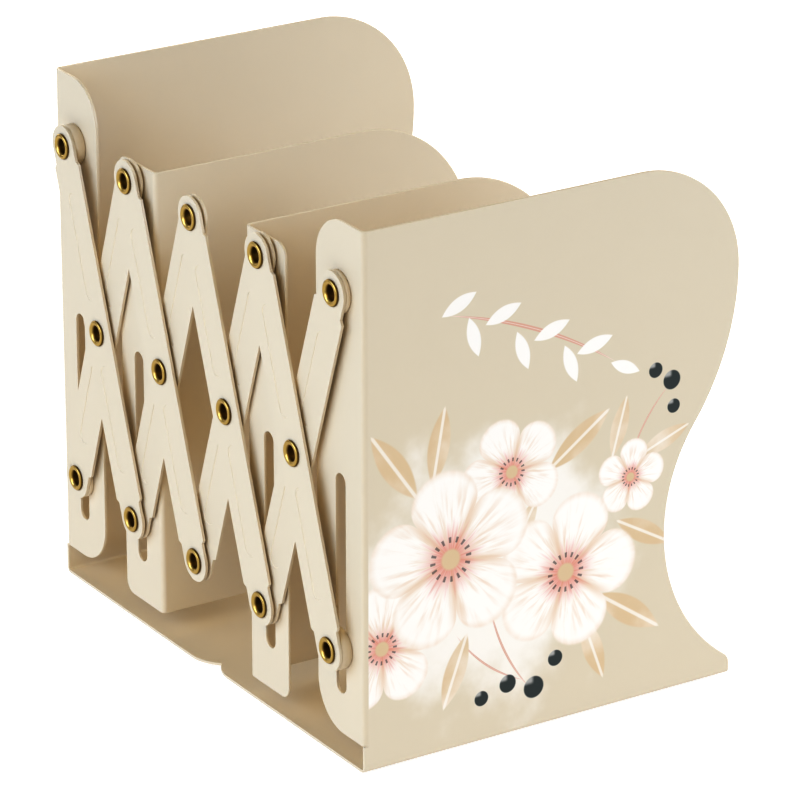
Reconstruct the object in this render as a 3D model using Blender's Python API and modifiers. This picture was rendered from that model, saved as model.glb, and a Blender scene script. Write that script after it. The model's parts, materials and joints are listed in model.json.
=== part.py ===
"""Expanding desktop book rack in folded sheet steel.

Two end plates and two dividers hang on a scissor lattice of stamped links, which pulls out along X. Each
plate turns on the top eyelet of its column, and the column's bottom eyelet slides in the plate's slot, so the
plates stay upright. The near base lies one sheet above the far base, and the two slide past each other.

Axes: +X from the far end plate to the near one, -Y the lattice side, +Z up. The origin is on the floor, at
the middle of the object as it stands. Sizes are in metres.
"""

import math

import bmesh
import bpy
from mathutils import Matrix, Vector

# Sheet, folds and clearances
PLATE_SHEET = 0.0010
LINK_SHEET = 0.0010
FOLD_RADIUS = 0.0020
LAYER_GAP = 0.0002
PIVOT_CLEARANCE = 0.0003
BASE_CLEARANCE = 0.0003

# End plates
END_HEIGHT = 0.2000
END_DEPTH = 0.1550
TOP_CORNER_RADIUS = 0.0420
BULGE_RADIUS = 0.0960
WAIST_DEPTH = 0.0298
TOE_RADIUS = 0.0050
TOE_HEIGHT = 0.0040
END_FLANGE_WIDTH = 0.0300
END_FLANGE_RADIUS = 0.0165
END_FLANGE_FOOT = 0.0114
END_PIVOT_INSET = 0.0148
BASE_LENGTH = 0.1100
BASE_CORNER = 0.0175

# Dividers
DIVIDER_DROP = 0.0190  # from the end plates' tops to theirs
DIVIDER_FOOT = 0.0105
DIVIDER_DEPTH = 0.1330
DIVIDER_TOP_RADIUS = 0.0460
DIVIDER_BACK_RADIUS = 0.0060
DIVIDER_FLANGE_WIDTH = 0.0265
DIVIDER_FLANGE_RADIUS = 0.0050
DIVIDER_PIVOT_INSET = 0.0143

# Scissor lattice
CELLS = 4
TOP_PIVOT_DROP = 0.0251  # from the end plates' tops
LOWEST_PIVOT_HEIGHT = 0.03844  # of the bottom pivots, when the rack is pushed together
CLOSED_ANGLE = math.radians(9.6)  # of a link from the vertical, pushed together
REST_ANGLE = math.radians(19.15)  # as the rack stands
OPEN_ANGLE = math.radians(59.2)  # pulled right out
LINK_WIDTH = 0.0184
HEAD_RADIUS = 0.0077
SHOULDER_REACH = 0.0062  # from the end pivot to where the strip starts to widen
SHOULDER_RUN = 0.0012
BEAD_WIDTH = 0.0066
BEAD_DEPTH = 0.0003
BEAD_FROM_CENTRE = 0.0120
BEAD_FROM_END = 0.0170

# Eyelets, washers, spacers and feet
BORE_RADIUS = 0.0026
BARREL_RADIUS = 0.0029
RIM_RADIUS = 0.0048
RIM_HEIGHT = 0.0009
CLINCH_RADIUS = 0.0043
CLINCH_HEIGHT = 0.0006
WASHER_RADIUS = 0.0066
WASHER_THICKNESS = 0.0008
SLOT_FOOT_SPARE = 0.0087  # left under the lowest eyelet
SLOT_TOP_SPARE = 0.0015  # left over the highest one
FOOT_RADIUS = 0.0034
FOOT_INSET = 0.0078  # from the near plate's outer face
FOOT_SETBACK = 0.0120  # from the front and back of the base

# Layers along Y. The end flanges' front faces lie at 0 and the lattice is in front of them.
DIVIDER_FRONT = -(PLATE_SHEET + LAYER_GAP)
REAR_LINK_BACK = DIVIDER_FRONT - 2 * LAYER_GAP - CLINCH_HEIGHT
REAR_LINK_FRONT = REAR_LINK_BACK - LINK_SHEET
FRONT_LINK_BACK = REAR_LINK_FRONT - 2 * LAYER_GAP - WASHER_THICKNESS
FRONT_LINK_FRONT = FRONT_LINK_BACK - LINK_SHEET
LATTICE_FRONT = FRONT_LINK_FRONT - LAYER_GAP - RIM_HEIGHT

# Places that follow from the sizes
DIVIDER_TOP = END_HEIGHT - DIVIDER_DROP
TOP_PIVOT_HEIGHT = END_HEIGHT - TOP_PIVOT_DROP
LINK_LENGTH = (TOP_PIVOT_HEIGHT - LOWEST_PIVOT_HEIGHT) / math.cos(CLOSED_ANGLE)
PITCH = LINK_LENGTH * math.sin(REST_ANGLE)
BOTTOM_PIVOT_HEIGHT = TOP_PIVOT_HEIGHT - LINK_LENGTH * math.cos(REST_ANGLE)
CENTRE_PIVOT_HEIGHT = (TOP_PIVOT_HEIGHT + BOTTOM_PIVOT_HEIGHT) / 2
RACK_LENGTH = 2 * END_PIVOT_INSET + CELLS * PITCH
NEAR_LIFT = PLATE_SHEET + BASE_CLEARANCE
HOLE_RADIUS = BARREL_RADIUS + PIVOT_CLEARANCE
HIGHEST_PIVOT_HEIGHT = TOP_PIVOT_HEIGHT - LINK_LENGTH * math.cos(OPEN_ANGLE)
SLOT_FOOT = LOWEST_PIVOT_HEIGHT - HOLE_RADIUS - SLOT_FOOT_SPARE
SLOT_TOP = HIGHEST_PIVOT_HEIGHT + HOLE_RADIUS + SLOT_TOP_SPARE

# Columns of pivots, counted from the far end
LAST_COLUMN = CELLS + 1
DIVIDER_COLUMNS = (2, CELLS)

# Fineness of the mesh
ARC_TOLERANCE = 0.00006  # between an arc and its chords
TURNED_STEPS = 16
FOLD_STEPS = 4
SHARP_ANGLE = math.radians(40)


def clear_scene():
    for obj in list(bpy.data.objects):
        bpy.data.objects.remove(obj, do_unlink=True)


def new_collection(name):
    collection = bpy.data.collections.new(name)
    bpy.context.scene.collection.children.link(collection)
    return collection


def new_material(name, colour, roughness, metallic=0.0):
    material = bpy.data.materials.new(name)
    material.use_nodes = True
    shader = material.node_tree.nodes["Principled BSDF"]
    shader.inputs["Base Color"].default_value = (*colour, 1.0)
    shader.inputs["Roughness"].default_value = roughness
    shader.inputs["Metallic"].default_value = metallic
    return material


# Outlines


def arc(centre, radius, start, end):
    """Points on an arc, both ends included. Angles are in radians, anticlockwise from the first axis."""
    chord_angle = 2 * math.acos(1 - ARC_TOLERANCE / radius)
    steps = max(2, math.ceil(abs(end - start) / chord_angle))
    angles = [start + (end - start) * step / steps for step in range(steps + 1)]
    return [(centre[0] + radius * math.cos(a), centre[1] + radius * math.sin(a)) for a in angles]


def circle(centre, radius):
    step = 2 * math.pi / TURNED_STEPS
    return [
        (centre[0] + radius * math.cos(step * i), centre[1] + radius * math.sin(step * i))
        for i in range(TURNED_STEPS)
    ]


def stadium(first, second, radius):
    """A round-ended slot from one centre up to another above it."""
    return arc(second, radius, 0, math.pi) + arc(first, radius, math.pi, 2 * math.pi)


def end_panel_outline(foot):
    """(y, z) points of an end panel's free edges, from the fold at the top round to the base fold.

    The free edge is a chain of tangent arcs: top corner, bulge, waist and toe. The waist radius is the one
    that brings the toe down to its height.
    """
    drop = END_HEIGHT - TOP_CORNER_RADIUS - (foot + TOE_HEIGHT)
    root = (drop + 2 * WAIST_DEPTH * (BULGE_RADIUS - TOE_RADIUS) / drop) / 2
    waist_radius = (root**2 + WAIST_DEPTH**2) / (2 * WAIST_DEPTH) - BULGE_RADIUS
    lean = math.acos(1 - WAIST_DEPTH / (BULGE_RADIUS + waist_radius))
    kick = math.acos(1 - WAIST_DEPTH / (waist_radius + TOE_RADIUS))
    shoulder = END_HEIGHT - TOP_CORNER_RADIUS
    waist = shoulder - (BULGE_RADIUS + waist_radius) * math.sin(lean)
    waist_centre = (END_DEPTH - WAIST_DEPTH + waist_radius, waist)
    points = [(FOLD_RADIUS, END_HEIGHT)]
    points += arc((END_DEPTH - TOP_CORNER_RADIUS, shoulder), TOP_CORNER_RADIUS, math.pi / 2, 0)
    points += arc((END_DEPTH - BULGE_RADIUS, shoulder), BULGE_RADIUS, 0, -lean)[1:]
    points += arc(waist_centre, waist_radius, math.pi - lean, math.pi + kick)[1:]
    points += arc((END_DEPTH - TOE_RADIUS, foot + TOE_HEIGHT), TOE_RADIUS, kick, 0)[1:]
    return points + [(END_DEPTH, foot + FOLD_RADIUS)]


def divider_panel_outline():
    """(y, z) points of a divider's panel behind its fold, from the top round to the foot."""
    back = DIVIDER_FRONT + DIVIDER_DEPTH
    fold = DIVIDER_FRONT + FOLD_RADIUS
    top_centre = (back - DIVIDER_TOP_RADIUS, DIVIDER_TOP - DIVIDER_TOP_RADIUS)
    low_centre = (back - DIVIDER_BACK_RADIUS, DIVIDER_FOOT + DIVIDER_BACK_RADIUS)
    points = [(fold, DIVIDER_TOP)]
    points += arc(top_centre, DIVIDER_TOP_RADIUS, math.pi / 2, 0)
    points += arc(low_centre, DIVIDER_BACK_RADIUS, 0, -math.pi / 2)
    return points + [(fold, DIVIDER_FOOT)]


def flap_outline(start, low, high, reach, radius):
    """(u, v) points of a folded flap: it leaves the fold at u = start and has two round free corners."""
    radius = min(radius, reach - start, (high - low) / 2)
    points = [(start, low)]
    points += arc((reach - radius, low + radius), radius, -math.pi / 2, 0)
    points += arc((reach - radius, high - radius), radius, 0, math.pi / 2)
    return points + [(start, high)]


def link_outline():
    """(x, z) points of a link about its centre: two round heads, each on a neck with shoulders."""
    half = LINK_LENGTH / 2
    neck_end = half - SHOULDER_REACH
    strip_end = neck_end - SHOULDER_RUN
    edge = LINK_WIDTH / 2
    top = [(edge, strip_end), (HEAD_RADIUS, neck_end)]
    top += arc((0, half), HEAD_RADIUS, 0, math.pi)
    top += [(-HEAD_RADIUS, neck_end), (-edge, strip_end)]
    return top + [(-x, -z) for x, z in top]


# Solids


def finished_mesh(obj, name):
    """The object's evaluated mesh, with the object and its unfinished data removed."""
    graph = bpy.context.evaluated_depsgraph_get()
    mesh = bpy.data.meshes.new_from_object(obj.evaluated_get(graph))
    mesh.name = name
    bpy.data.objects.remove(obj, do_unlink=True)
    return mesh


def weld(mesh):
    shape = bmesh.new()
    shape.from_mesh(mesh)
    bmesh.ops.remove_doubles(shape, verts=shape.verts, dist=1e-6)
    bmesh.ops.recalc_face_normals(shape, faces=shape.faces)
    shape.to_mesh(mesh)
    shape.free()


def blanked_mesh(name, outlines, back, front):
    """A flat piece stamped from sheet, from Y = back to Y = front: the first outline less the others."""
    curve = bpy.data.curves.new(name, "CURVE")
    curve.dimensions = "2D"
    curve.fill_mode = "BOTH"
    curve.extrude = (back - front) / 2
    for outline in outlines:
        spline = curve.splines.new("POLY")
        spline.points.add(len(outline) - 1)
        for point, (u, v) in zip(spline.points, outline):
            point.co = (u, v, 0, 1)
        spline.use_cyclic_u = True
    blank = bpy.data.objects.new(name, curve)
    bpy.context.scene.collection.objects.link(blank)
    bpy.context.view_layer.update()
    mesh = finished_mesh(blank, name)
    bpy.data.curves.remove(curve)
    stand = Matrix.Translation((0, (back + front) / 2, 0)) @ Matrix.Rotation(math.pi / 2, 4, "X")
    mesh.transform(stand)
    weld(mesh)
    return mesh


def turned_mesh(name, profile):
    """A turned piece about the Y axis. The profile is (radius, y) points, closed."""
    mesh = bpy.data.meshes.new(name)
    edges = [(i, (i + 1) % len(profile)) for i in range(len(profile))]
    mesh.from_pydata([(radius, 0, -depth) for radius, depth in profile], edges, [])
    blank = bpy.data.objects.new(name, mesh)
    bpy.context.scene.collection.objects.link(blank)
    screw = blank.modifiers.new("Turn", "SCREW")
    screw.steps = TURNED_STEPS
    screw.render_steps = TURNED_STEPS
    screw.use_merge_vertices = True
    screw.merge_threshold = 1e-6
    bpy.context.view_layer.update()
    turned = finished_mesh(blank, name)
    bpy.data.meshes.remove(mesh)
    turned.transform(Matrix.Rotation(math.pi / 2, 4, "X"))
    weld(turned)
    turned.shade_smooth()
    turned.set_sharp_from_angle(angle=SHARP_ANGLE)
    return turned


def add_cut(obj, cutter, operation="DIFFERENCE"):
    cut = obj.modifiers.new(cutter.name, "BOOLEAN")
    cut.operation = operation
    cut.object = cutter


def helper(name, mesh, collection):
    """A cutter or a joining solid, which shows as wire and stays out of the object."""
    obj = bpy.data.objects.new(name, mesh)
    obj.hide_render = True
    obj.display_type = "WIRE"
    collection.objects.link(obj)
    return obj


def place(name, mesh, material, collection, parent, location=(0, 0, 0)):
    obj = bpy.data.objects.new(name, mesh)
    if not mesh.materials:
        mesh.materials.append(material)
    obj.parent = parent
    obj.location = location
    collection.objects.link(obj)
    return obj


def fold_flap(shape, ends, centre, axis, angle, outline):
    """Folds a flap off the edge between two of the panel's points, then closes the flap's flat outline."""
    edge = next(e for e in shape.edges if all(min((v.co - p).length for p in ends) < 1e-7 for v in e.verts))
    bmesh.ops.spin(shape, geom=[edge], cent=centre, axis=axis, angle=angle, steps=FOLD_STEPS)
    shape.faces.new([shape.verts.new(point) for point in outline])


def folded_sheet(name, panel, flaps, side):
    """A panel in the plane X = 0 with flaps folded towards X = side, as a solid sheet.

    The panel and the flaps are the outer faces, and the thickness goes inwards. Each flap has the panel
    points at the ends of its fold, the fold's centre, axis and angle, and its flat outline.
    """
    shape = bmesh.new()
    shape.faces.new([shape.verts.new(point) for point in panel])
    for flap in flaps:
        fold_flap(shape, *flap)
    bmesh.ops.remove_doubles(shape, verts=shape.verts, dist=1e-6)
    bmesh.ops.recalc_face_normals(shape, faces=shape.faces)
    shape.normal_update()
    largest = max(shape.faces, key=lambda face: face.calc_area())
    if largest.normal.x * side > 0:
        bmesh.ops.reverse_faces(shape, faces=shape.faces)
    mesh = bpy.data.meshes.new(name)
    shape.to_mesh(mesh)
    shape.free()
    blank = bpy.data.objects.new(name, mesh)
    bpy.context.scene.collection.objects.link(blank)
    thickness = blank.modifiers.new("Sheet", "SOLIDIFY")
    thickness.thickness = PLATE_SHEET
    thickness.offset = -1
    thickness.use_even_offset = True
    bpy.context.view_layer.update()
    sheet = finished_mesh(blank, name)
    bpy.data.meshes.remove(mesh)
    sheet.shade_smooth()
    sheet.set_sharp_from_angle(angle=SHARP_ANGLE)
    return sheet


def flange_flap(side, front, foot, top, width, radius):
    """The front flange's fold and outline, off a panel at X = 0."""
    ends = (Vector((0, front + FOLD_RADIUS, foot)), Vector((0, front + FOLD_RADIUS, top)))
    centre = Vector((side * FOLD_RADIUS, front + FOLD_RADIUS, 0))
    outline = flap_outline(FOLD_RADIUS, foot, top, width, radius)
    points = [Vector((side * u, front, v)) for u, v in outline]
    return ends, centre, Vector((0, 0, 1)), side * math.pi / 2, points


def base_flap(side, foot):
    """The base's fold and outline, off an end panel at X = 0."""
    ends = (Vector((0, 0, foot + FOLD_RADIUS)), Vector((0, END_DEPTH, foot + FOLD_RADIUS)))
    centre = Vector((side * FOLD_RADIUS, 0, foot + FOLD_RADIUS))
    outline = flap_outline(FOLD_RADIUS, 0, END_DEPTH, BASE_LENGTH, BASE_CORNER)
    points = [Vector((side * u, v, foot)) for u, v in outline]
    return ends, centre, Vector((0, 1, 0)), -side * math.pi / 2, points


def end_plate_mesh(name, side, foot):
    """An end plate about its outer face: S-edged panel, front flange and base."""
    edge = end_panel_outline(foot)
    front = [(0, foot + FOLD_RADIUS), (0, END_FLANGE_FOOT), (FOLD_RADIUS, END_FLANGE_FOOT)]
    panel = [Vector((0, y, z)) for y, z in edge + front]
    flaps = [
        flange_flap(side, 0, END_FLANGE_FOOT, END_HEIGHT, END_FLANGE_WIDTH, END_FLANGE_RADIUS),
        base_flap(side, foot),
    ]
    return folded_sheet(name, panel, flaps, side)


def divider_mesh(name, side):
    panel = [Vector((0, y, z)) for y, z in divider_panel_outline()]
    flap = flange_flap(
        side, DIVIDER_FRONT, DIVIDER_FOOT, DIVIDER_TOP, DIVIDER_FLANGE_WIDTH, DIVIDER_FLANGE_RADIUS
    )
    return folded_sheet(name, panel, [flap], side)


def add_plate(name, mesh, inset, side, front, rack, pivot, cutters):
    """Hangs a plate on its column's top pivot and cuts the pivot hole and the slot in its flange.

    The cutters stand one sheet proud of the flange, behind and in front.
    """
    plate = place(name, mesh, rack["coat"], rack["parts"], pivot, (-side * inset, 0, -TOP_PIVOT_HEIGHT))
    through = (front + 2 * PLATE_SHEET, front - PLATE_SHEET)
    hole = blanked_mesh(name + "_hole", [circle((side * inset, TOP_PIVOT_HEIGHT), HOLE_RADIUS)], *through)
    low = (side * inset, SLOT_FOOT + HOLE_RADIUS)
    high = (side * inset, SLOT_TOP - HOLE_RADIUS)
    slot = blanked_mesh(name + "_slot", [stadium(low, high, HOLE_RADIUS)], *through)
    for cutter_mesh in (hole, slot):
        cutter = helper(cutter_mesh.name, cutter_mesh, cutters)
        cutter.parent = pivot
        cutter.location = plate.location
        add_cut(plate, cutter)
    return plate


def link_mesh(cutters):
    """One link about its centre pivot, its front face at Y = 0, with two beads pressed in from the front."""
    half = LINK_LENGTH / 2
    holes = [circle((0, z), HOLE_RADIUS) for z in (-half, 0, half)]
    flat = blanked_mesh("link_blank", [link_outline(), *holes], LINK_SHEET, 0)
    blank = bpy.data.objects.new("link", flat)
    bpy.context.scene.collection.objects.link(blank)
    radius = BEAD_WIDTH / 2
    for sign, end in ((1, "upper"), (-1, "lower")):
        span = sorted((sign * (BEAD_FROM_CENTRE + radius), sign * (half - BEAD_FROM_END - radius)))
        outline = stadium((0, span[0]), (0, span[1]), radius)
        raised = blanked_mesh(end + "_bead_back", [outline], LINK_SHEET + BEAD_DEPTH, LINK_SHEET / 2)
        add_cut(blank, helper(raised.name, raised, cutters), "UNION")
        sunk_outline = stadium((0, span[0]), (0, span[1]), radius - LINK_SHEET / 4)
        sunk = blanked_mesh(end + "_bead_front", [sunk_outline], BEAD_DEPTH, -LINK_SHEET)
        add_cut(blank, helper(sunk.name, sunk, cutters))
    bpy.context.view_layer.update()
    return finished_mesh(blank, "link")


def eyelet_mesh(name, front, back):
    """A hollow eyelet: rolled rim in front of the stack, barrel through it and clinch behind."""
    rim = front - LAYER_GAP
    clinch = back + LAYER_GAP
    roll = RIM_HEIGHT / 3
    profile = [
        (BORE_RADIUS, rim - RIM_HEIGHT + 2 * roll),
        (BORE_RADIUS + 2 * roll, rim - RIM_HEIGHT),
        (RIM_RADIUS - 2 * roll, rim - RIM_HEIGHT),
        (RIM_RADIUS, rim - roll),
        (RIM_RADIUS - roll / 2, rim),
        (BARREL_RADIUS, rim),
        (BARREL_RADIUS, clinch),
        (CLINCH_RADIUS, clinch),
        (CLINCH_RADIUS - roll, clinch + CLINCH_HEIGHT),
        (BORE_RADIUS, clinch + CLINCH_HEIGHT),
    ]
    return turned_mesh(name, profile)


def ring_mesh(name, radius, front, back):
    """A washer or spacer between two faces, one layer gap clear of each."""
    outlines = [circle((0, 0), radius), circle((0, 0), HOLE_RADIUS)]
    return blanked_mesh(name, outlines, back - LAYER_GAP, front + LAYER_GAP)


# Assembly


def add_pivots(rack):
    """One empty on each pivot axis: the pieces that turn there hang on it."""
    places = {}
    for column in range(1, LAST_COLUMN + 1):
        x = END_PIVOT_INSET + (column - 1) * PITCH
        places[f"pivot_top_{column}"] = (x, 0, TOP_PIVOT_HEIGHT)
        places[f"pivot_bottom_{column}"] = (x, 0, BOTTOM_PIVOT_HEIGHT)
    for cell in range(1, CELLS + 1):
        x = END_PIVOT_INSET + (cell - 0.5) * PITCH
        places[f"pivot_centre_{cell}"] = (x, 0, CENTRE_PIVOT_HEIGHT)
    origin = rack["origin"]
    origin.location = (-RACK_LENGTH / 2, -(LATTICE_FRONT + END_DEPTH) / 2, 0)
    rack["parts"].objects.link(origin)
    pivots = {}
    for name, location in places.items():
        pivot = bpy.data.objects.new(name, None)
        pivot.parent = origin
        pivot.location = location
        rack["parts"].objects.link(pivot)
        pivots[name] = pivot
    return pivots


def add_plates(rack, pivots, cutters):
    far = end_plate_mesh("end_plate_far", 1, 0)
    near = end_plate_mesh("end_plate_near", -1, NEAR_LIFT)
    add_plate("end_plate_far", far, END_PIVOT_INSET, 1, 0, rack, pivots["pivot_top_1"], cutters)
    near_pivot = pivots[f"pivot_top_{LAST_COLUMN}"]
    add_plate("end_plate_near", near, END_PIVOT_INSET, -1, 0, rack, near_pivot, cutters)
    for name, side, column in zip(("divider_far", "divider_near"), (-1, 1), DIVIDER_COLUMNS):
        mesh = divider_mesh(name, side)
        pivot = pivots[f"pivot_top_{column}"]
        add_plate(name, mesh, DIVIDER_PIVOT_INSET, side, DIVIDER_FRONT, rack, pivot, cutters)


def add_links(rack, pivots, cutters):
    """Front links fall from the far side to the near side, rear links the other way."""
    mesh = link_mesh(cutters)
    front = mesh.copy()
    front.transform(Matrix.Translation((0, FRONT_LINK_FRONT, -LINK_LENGTH / 2)))
    rear = mesh.copy()
    rear.transform(Matrix.Translation((0, REAR_LINK_FRONT, 0)))
    for cell in range(1, CELLS + 1):
        link = place(f"link_front_{cell}", front, rack["coat"], rack["parts"], pivots[f"pivot_top_{cell}"])
        link.rotation_euler.y = -REST_ANGLE
        link = place(f"link_rear_{cell}", rear, rack["coat"], rack["parts"], pivots[f"pivot_centre_{cell}"])
        link.rotation_euler.y = REST_ANGLE


def add_hardware(rack, pivots):
    """Eyelets, washers and spacers.

    Each stack is an eyelet, the spacer behind its links and the washer between them. At the end columns one
    link meets a flange: a front link at the far top and the near bottom, where the stack is tall, or else a
    rear one.
    """
    parts = rack["parts"]
    divider_back = DIVIDER_FRONT + PLATE_SHEET
    washer = ring_mesh("washer", WASHER_RADIUS, FRONT_LINK_BACK, REAR_LINK_FRONT)
    stacks = {
        "links": (eyelet_mesh("eyelet_links", FRONT_LINK_FRONT, REAR_LINK_BACK), None, washer),
        "divider": (
            eyelet_mesh("eyelet_divider", FRONT_LINK_FRONT, divider_back),
            ring_mesh("spacer_divider", WASHER_RADIUS, REAR_LINK_BACK, DIVIDER_FRONT),
            washer,
        ),
        "tall_end": (
            eyelet_mesh("eyelet_tall", FRONT_LINK_FRONT, PLATE_SHEET),
            ring_mesh("spacer_tall", HEAD_RADIUS, FRONT_LINK_BACK, 0),
            None,
        ),
        "short_end": (
            eyelet_mesh("eyelet_short", REAR_LINK_FRONT, PLATE_SHEET),
            ring_mesh("spacer_short", HEAD_RADIUS, REAR_LINK_BACK, 0),
            None,
        ),
    }
    chosen = {f"centre_{cell}": "links" for cell in range(1, CELLS + 1)}
    for column in range(1, LAST_COLUMN + 1):
        stack = "divider" if column in DIVIDER_COLUMNS else "links"
        chosen[f"top_{column}"] = stack
        chosen[f"bottom_{column}"] = stack
    chosen["top_1"] = chosen[f"bottom_{LAST_COLUMN}"] = "tall_end"
    chosen["bottom_1"] = chosen[f"top_{LAST_COLUMN}"] = "short_end"
    for place_name, stack in chosen.items():
        pivot = pivots["pivot_" + place_name]
        eyelet, spacer, between = stacks[stack]
        place("eyelet_" + place_name, eyelet, rack["brass"], parts, pivot)
        if spacer:
            place("spacer_" + place_name, spacer, rack["nylon"], parts, pivot)
        if between:
            place("washer_" + place_name, between, rack["nylon"], parts, pivot)


def add_feet(rack):
    """Two pads under the near base, beside its fold, where the far base never reaches."""
    for name, y in (("foot_front", FOOT_SETBACK), ("foot_back", END_DEPTH - FOOT_SETBACK)):
        pad = blanked_mesh(name, [circle((0, 0), FOOT_RADIUS)], NEAR_LIFT - BASE_CLEARANCE, 0)
        pad.transform(Matrix.Rotation(math.pi / 2, 4, "X"))
        place(name, pad, rack["rubber"], rack["parts"], rack["origin"], (RACK_LENGTH - FOOT_INSET, y, 0))


def main():
    clear_scene()
    cutters = new_collection("cutters")
    rack = {
        "parts": new_collection("book_rack"),
        "origin": bpy.data.objects.new("rack_origin", None),
        "coat": new_material("cream_powder_coat", (0.78, 0.70, 0.55), 0.45),
        "brass": new_material("yellow_brass", (0.72, 0.46, 0.09), 0.25, 1.0),
        "nylon": new_material("natural_nylon", (0.70, 0.62, 0.46), 0.5),
        "rubber": new_material("clear_grey_rubber", (0.55, 0.55, 0.53), 0.6),
    }
    pivots = add_pivots(rack)
    add_plates(rack, pivots, cutters)
    add_links(rack, pivots, cutters)
    add_hardware(rack, pivots)
    add_feet(rack)
    bpy.context.view_layer.update()


main()
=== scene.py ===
"""Finish and studio of an expanding desktop book rack.

The rack is cream powder-coated sheet steel on a scissor lattice with rolled brass eyelets. Every piece is
built in its place around the frame, in metres. +X runs from the far end plate to the near one, -Y is the
lattice side, and +Z is up.
"""

import json
import math

import bmesh
import bpy
from bpy.props import FloatProperty, FloatVectorProperty, PointerProperty
from mathutils import Matrix, Vector


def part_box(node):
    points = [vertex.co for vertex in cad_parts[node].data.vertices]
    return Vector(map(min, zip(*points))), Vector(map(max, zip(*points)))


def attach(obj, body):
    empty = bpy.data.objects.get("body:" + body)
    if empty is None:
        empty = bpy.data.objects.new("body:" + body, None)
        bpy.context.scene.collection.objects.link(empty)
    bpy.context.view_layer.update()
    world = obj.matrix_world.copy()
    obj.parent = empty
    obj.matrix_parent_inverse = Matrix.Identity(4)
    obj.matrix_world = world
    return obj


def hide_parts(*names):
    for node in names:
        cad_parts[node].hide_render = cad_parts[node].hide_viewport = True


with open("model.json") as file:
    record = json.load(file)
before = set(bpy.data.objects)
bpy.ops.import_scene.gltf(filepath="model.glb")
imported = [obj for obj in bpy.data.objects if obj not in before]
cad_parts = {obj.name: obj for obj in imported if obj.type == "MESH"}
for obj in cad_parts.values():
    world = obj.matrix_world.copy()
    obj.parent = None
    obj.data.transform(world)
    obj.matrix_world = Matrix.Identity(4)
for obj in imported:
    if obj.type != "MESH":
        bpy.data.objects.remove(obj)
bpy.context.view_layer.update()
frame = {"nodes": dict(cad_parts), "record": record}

bl_info = {
    "name": "Book rack",
    "version": (1, 0, 0),
    "blender": (4, 5, 0),
    "location": "View3D > Sidebar > Book rack",
    "description": "Builds an expanding book rack in powder-coated steel with brass eyelets",
    "category": "Object",
}

TINY = 1e-6  # metres, tells two places apart
MM = 0.001
ARC_TOLERANCE = 0.008 * MM  # between a curve and its chords
ROUND_STEPS = 64  # around an eyelet, hole or washer
EDGE_STEPS = 3  # across a rounded edge
SHARP_SHEET = math.radians(40)  # an edge of a sheet that turns by more is rounded
SHARP_TURNED = math.radians(50)  # an edge of a round piece that turns by more is shaded sharp
PUNCH_DEPTH = 6  # sheets, so that a punch stands out on both sides
CELLS = 4  # crossings of the lattice
COLUMNS = CELLS + 1


def hex_colour(text):
    """Linear colour of an sRGB hex value."""
    channels = [int(text[i:i + 2], 16) / 255 for i in (0, 2, 4)]
    return tuple(c / 12.92 if c <= 0.04045 else ((c + 0.055) / 1.055) ** 2.4 for c in channels)


# Settings


class PlateSizes(bpy.types.PropertyGroup):
    """Sizes of the folded plates."""

    sheet: FloatProperty(name="Sheet", description="Thickness of the steel", default=1.0 * MM, unit="LENGTH")
    fold: FloatProperty(name="Fold", description="Outer radius of a fold", default=2.0 * MM, unit="LENGTH")
    edge: FloatProperty(
        name="Edge", description="Rounding of the coated edges", default=0.25 * MM, unit="LENGTH"
    )
    hole: FloatProperty(name="Hole", description="Radius of holes and slots", default=3.2 * MM, unit="LENGTH")
    slot_foot: FloatProperty(
        name="Slot foot", description="Height of the slots' lower end", default=26.5 * MM, unit="LENGTH"
    )
    slot_top: FloatProperty(
        name="Slot top", description="Height of the slots' upper end", default=108.7 * MM, unit="LENGTH"
    )
    top_corner: FloatProperty(
        name="Top corner", description="Radius of an end plate's top corner", default=42 * MM, unit="LENGTH"
    )
    bulge: FloatProperty(
        name="Bulge", description="Radius of the bulge below the top corner", default=96 * MM, unit="LENGTH"
    )
    waist: FloatProperty(
        name="Waist", description="How far the waist is drawn in from the back",
        default=29.8 * MM, unit="LENGTH",
    )
    toe: FloatProperty(name="Toe", description="Radius of the toe at the foot", default=5 * MM, unit="LENGTH")
    toe_height: FloatProperty(
        name="Toe height", description="Height of the toe above the base", default=4 * MM, unit="LENGTH"
    )
    flange: FloatProperty(
        name="Flange", description="Width of an end plate's flange", default=30 * MM, unit="LENGTH"
    )
    flange_corner: FloatProperty(
        name="Flange corner", description="Radius of that flange's free corners",
        default=16.5 * MM, unit="LENGTH",
    )
    flange_foot: FloatProperty(
        name="Flange foot", description="Height of that flange's lower edge", default=11.4 * MM, unit="LENGTH"
    )
    base_corner: FloatProperty(
        name="Base corner", description="Radius of the bases' free corners", default=17.5 * MM, unit="LENGTH"
    )
    divider_corner: FloatProperty(
        name="Divider corner", description="Radius of a divider's top corner", default=46 * MM, unit="LENGTH"
    )
    divider_foot_corner: FloatProperty(
        name="Divider foot", description="Radius of a divider's back foot corner",
        default=6 * MM, unit="LENGTH",
    )
    divider_flange_corner: FloatProperty(
        name="Divider flange", description="Radius of a divider flange's corners",
        default=5 * MM, unit="LENGTH",
    )


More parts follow.
